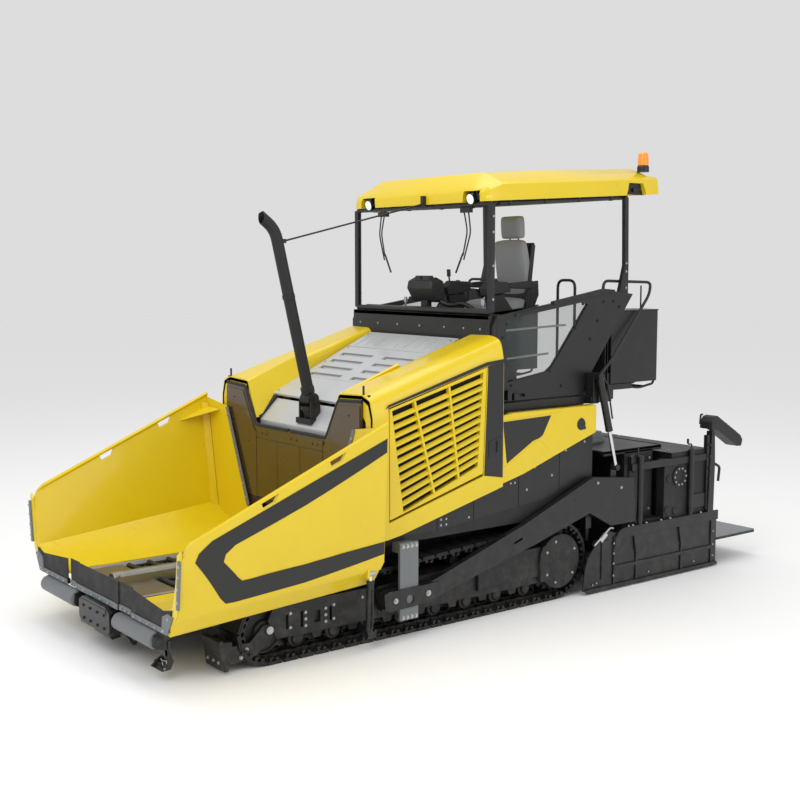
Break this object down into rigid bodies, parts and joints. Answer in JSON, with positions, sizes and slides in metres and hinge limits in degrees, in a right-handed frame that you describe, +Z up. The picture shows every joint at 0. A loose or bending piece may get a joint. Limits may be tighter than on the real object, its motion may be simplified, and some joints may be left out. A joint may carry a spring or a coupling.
{
  "type": "tracked asphalt paver",
  "caption": "Tracked asphalt paver: folding hopper wings, push rollers, engine hood with grille doors, operator station under a folding canopy, and a tow-arm screed with sliding extensions.",
  "frame": {"origin": "centre of the bounding box at ground level", "axes": "+Z up, -Y the driving direction at the hopper, +X the machine's left side"},
  "size_m": [3.02, 7.12, 4.27],
  "materials": {
    "yellow_paint": "gloss yellow machine paint",
    "black_paint": "semi-matt black paint",
    "track_steel": "dark dry steel",
    "bare_steel": "worn bare steel",
    "silver_paint": "silver grey paint",
    "exhaust_paint": "matt dark grey heat paint",
    "window_glass": "clear safety glass",
    "seat_cover": "grey seat cover",
    "grey_paint": "matt grey coating",
    "rod_chrome": "polished rod"
  },
  "bodies": {
    "chassis": {"chassis_frame": "black_paint", "tunnel_housing": "black_paint", "lower_body": "black_paint", "hopper_floor": "bare_steel", "bulkhead": "black_paint", "engine_block": "grey_paint", "hood_front": "silver_paint", "platform": "black_paint", "console": "black_paint", "track_left": "track_steel", "track_frame_left": "black_paint", "cowl_left": "yellow_paint", "rear_panel_left": "yellow_paint", "side_panel_left": "black_paint", "side_glass_left": "window_glass", "cylinder_foot_left": "black_paint", "tow_bracket_left": "grey_paint", "track_right": "track_steel", "track_frame_right": "black_paint", "cowl_right": "yellow_paint", "rear_panel_right": "yellow_paint", "side_panel_right": "black_paint", "side_glass_right": "window_glass", "cylinder_foot_right": "black_paint", "tow_bracket_right": "grey_paint", "seat": "seat_cover"},
    "wing_left": {"hopper_wing_left": "yellow_paint"},
    "wing_barrel_left": {"wing_cylinder_left_barrel": "black_paint"},
    "wing_rod_left": {"wing_cylinder_left_rod": "rod_chrome"},
    "wing_right": {"hopper_wing_right": "yellow_paint"},
    "wing_barrel_right": {"wing_cylinder_right_barrel": "black_paint"},
    "wing_rod_right": {"wing_cylinder_right_rod": "rod_chrome"},
    "push_beam": {"push_beam": "black_paint"},
    "push_roller_left": {"push_roller_left": "bare_steel"},
    "push_roller_right": {"push_roller_right": "bare_steel"},
    "grille_door_left": {"grille_door_left": "yellow_paint"},
    "grille_door_right": {"grille_door_right": "yellow_paint"},
    "hood_lid": {"hood_lid": "silver_paint"},
    "front_posts": {"front_posts": "black_paint"},
    "roof": {"roof": "yellow_paint"},
    "rear_posts": {"rear_posts": "black_paint"},
    "exhaust": {"exhaust": "exhaust_paint"},
    "tie_rod": {"tie_rod": "bare_steel"},
    "screed": {"screed_frame": "black_paint", "tow_arm_left": "black_paint", "tow_arm_right": "black_paint"},
    "lift_barrel_left": {"lift_cylinder_left_barrel": "black_paint"},
    "lift_rod_left": {"lift_cylinder_left_rod": "rod_chrome"},
    "lift_barrel_right": {"lift_cylinder_right_barrel": "black_paint"},
    "lift_rod_right": {"lift_cylinder_right_rod": "rod_chrome"},
    "extension_left": {"screed_extension_left": "black_paint"},
    "walkway_left": {"walkway_left": "black_paint"},
    "auger_left": {"auger_left": "bare_steel"},
    "extension_right": {"screed_extension_right": "black_paint"},
    "walkway_right": {"walkway_right": "black_paint"},
    "auger_right": {"auger_right": "bare_steel"}
  },
  "joints": [
    {"name": "wing_left_fold", "type": "hinge", "parent": "chassis", "child": "wing_left", "pos_m": [0.6, -1.64, 0.53], "axis": [0, -1, 0], "range_deg": [0, 30]},
    {"name": "wing_barrel_left_tilt", "type": "hinge", "parent": "chassis", "child": "wing_barrel_left", "pos_m": [1.36, -1.73, 0.14], "axis": [0, -1, 0], "range_deg": [0, 12.18]},
    {"name": "wing_rod_left_stroke", "type": "slide", "parent": "wing_barrel_left", "child": "wing_rod_left", "axis": [0.0485, 0, 0.9988], "range_m": [0, 0.3895]},
    {"name": "wing_right_fold", "type": "hinge", "parent": "chassis", "child": "wing_right", "pos_m": [-0.6, -1.64, 0.53], "axis": [0, 1, 0], "range_deg": [0, 30]},
    {"name": "wing_barrel_right_tilt", "type": "hinge", "parent": "chassis", "child": "wing_barrel_right", "pos_m": [-1.36, -1.73, 0.14], "axis": [0, 1, 0], "range_deg": [0, 12.18]},
    {"name": "wing_rod_right_stroke", "type": "slide", "parent": "wing_barrel_right", "child": "wing_rod_right", "axis": [-0.0485, 0, 0.9988], "range_m": [0, 0.3895]},
    {"name": "push_beam_swivel", "type": "hinge", "parent": "chassis", "child": "push_beam", "pos_m": [0, -3.3, 0.3], "axis": [0, 0, 1], "range_deg": [-5, 5]},
    {"name": "push_roller_left_spin", "type": "hinge", "parent": "push_beam", "child": "push_roller_left", "pos_m": [0.735, -3.49, 0.35], "axis": [1, 0, 0], "continuous": true},
    {"name": "push_roller_right_spin", "type": "hinge", "parent": "push_beam", "child": "push_roller_right", "pos_m": [-0.735, -3.49, 0.35], "axis": [1, 0, 0], "continuous": true},
    {"name": "grille_door_left_open", "type": "hinge", "parent": "chassis", "child": "grille_door_left", "pos_m": [1.242, -1.43, 1.4], "axis": [0, 0, -1], "range_deg": [0, 90]},
    {"name": "grille_door_right_open", "type": "hinge", "parent": "chassis", "child": "grille_door_right", "pos_m": [-1.242, -1.43, 1.4], "axis": [0, 0, 1], "range_deg": [0, 90]},
    {"name": "hood_lid_open", "type": "hinge", "parent": "chassis", "child": "hood_lid", "pos_m": [0, -0.2, 2.46], "axis": [-1, 0, 0], "range_deg": [0, 40]},
    {"name": "canopy_fold", "type": "hinge", "parent": "chassis", "child": "front_posts", "pos_m": [0, -0.12, 2.7253], "axis": [1, 0, 0], "range_deg": [0, 45]},
    {"name": "roof_level", "type": "hinge", "parent": "front_posts", "child": "roof", "pos_m": [0, -0.12, 3.7], "axis": [1, 0, 0], "range_deg": [-45, 0]},
    {"name": "rear_posts_fold", "type": "hinge", "parent": "chassis", "child": "rear_posts", "pos_m": [0, 1.62, 2.83], "axis": [1, 0, 0], "range_deg": [0, 45]},
    {"name": "exhaust_fold", "type": "hinge", "parent": "chassis", "child": "exhaust", "pos_m": [0.12, -1.48, 1.96], "axis": [1, 0, 0], "range_deg": [0, 31.2]},
    {"name": "tie_rod_tilt", "type": "hinge", "parent": "roof", "child": "tie_rod", "pos_m": [0.12, -0.2003, 3.72], "axis": [1, 0, 0], "range_deg": [-0.2, 1.89]},
    {"name": "screed_lift", "type": "hinge", "parent": "chassis", "child": "screed", "pos_m": [0, -1.27, 0.35], "axis": [1, 0, 0], "range_deg": [0, 7]},
    {"name": "lift_barrel_left_tilt", "type": "hinge", "parent": "chassis", "child": "lift_barrel_left", "pos_m": [1.235, 1.08, 2.1], "axis": [1, 0, 0], "range_deg": [-3.66, 0]},
    {"name": "lift_rod_left_stroke", "type": "slide", "parent": "lift_barrel_left", "child": "lift_rod_left", "axis": [0, 0.2676, -0.9635], "range_m": [-0.3341, 0]},
    {"name": "lift_barrel_right_tilt", "type": "hinge", "parent": "chassis", "child": "lift_barrel_right", "pos_m": [-1.235, 1.08, 2.1], "axis": [1, 0, 0], "range_deg": [-3.66, 0]},
    {"name": "lift_rod_right_stroke", "type": "slide", "parent": "lift_barrel_right", "child": "lift_rod_right", "axis": [0, 0.2676, -0.9635], "range_m": [-0.3341, 0]},
    {"name": "extension_left_slide", "type": "slide", "parent": "screed", "child": "extension_left", "axis": [1, 0, 0], "range_m": [0, 1.1]},
    {"name": "walkway_left_fold", "type": "hinge", "parent": "extension_left", "child": "walkway_left", "pos_m": [0.6, 2.825, 0.285], "axis": [1, 0, 0], "range_deg": [0, 85]},
    {"name": "auger_left_spin", "type": "hinge", "parent": "chassis", "child": "auger_left", "pos_m": [0.6, 1.235, 0.3], "axis": [1, 0, 0], "continuous": true},
    {"name": "extension_right_slide", "type": "slide", "parent": "screed", "child": "extension_right", "axis": [-1, 0, 0], "range_m": [0, 1.1]},
    {"name": "walkway_right_fold", "type": "hinge", "parent": "extension_right", "child": "walkway_right", "pos_m": [-0.6, 2.825, 0.285], "axis": [1, 0, 0], "range_deg": [0, 85]},
    {"name": "auger_right_spin", "type": "hinge", "parent": "chassis", "child": "auger_right", "pos_m": [-0.6, 1.235, 0.3], "axis": [1, 0, 0], "continuous": true}
  ],
  "couplings": [
    {"joint": "wing_barrel_left_tilt", "follows": "wing_left_fold", "ratio": 0.39596},
    {"joint": "wing_rod_left_stroke", "follows": "wing_left_fold", "m_per_rad": 0.73816},
    {"joint": "wing_barrel_right_tilt", "follows": "wing_right_fold", "ratio": 0.39596},
    {"joint": "wing_rod_right_stroke", "follows": "wing_right_fold", "m_per_rad": 0.73816},
    {"joint": "roof_level", "follows": "canopy_fold", "ratio": -1},
    {"joint": "rear_posts_fold", "follows": "canopy_fold", "ratio": 1},
    {"joint": "exhaust_fold", "follows": "canopy_fold", "ratio": 0.68224},
    {"joint": "tie_rod_tilt", "follows": "canopy_fold", "ratio": 0.03406},
    {"joint": "lift_barrel_left_tilt", "follows": "screed_lift", "ratio": -0.48042},
    {"joint": "lift_rod_left_stroke", "follows": "screed_lift", "m_per_rad": -2.7098},
    {"joint": "lift_barrel_right_tilt", "follows": "screed_lift", "ratio": -0.48042},
    {"joint": "lift_rod_right_stroke", "follows": "screed_lift", "m_per_rad": -2.7098}
  ]
}
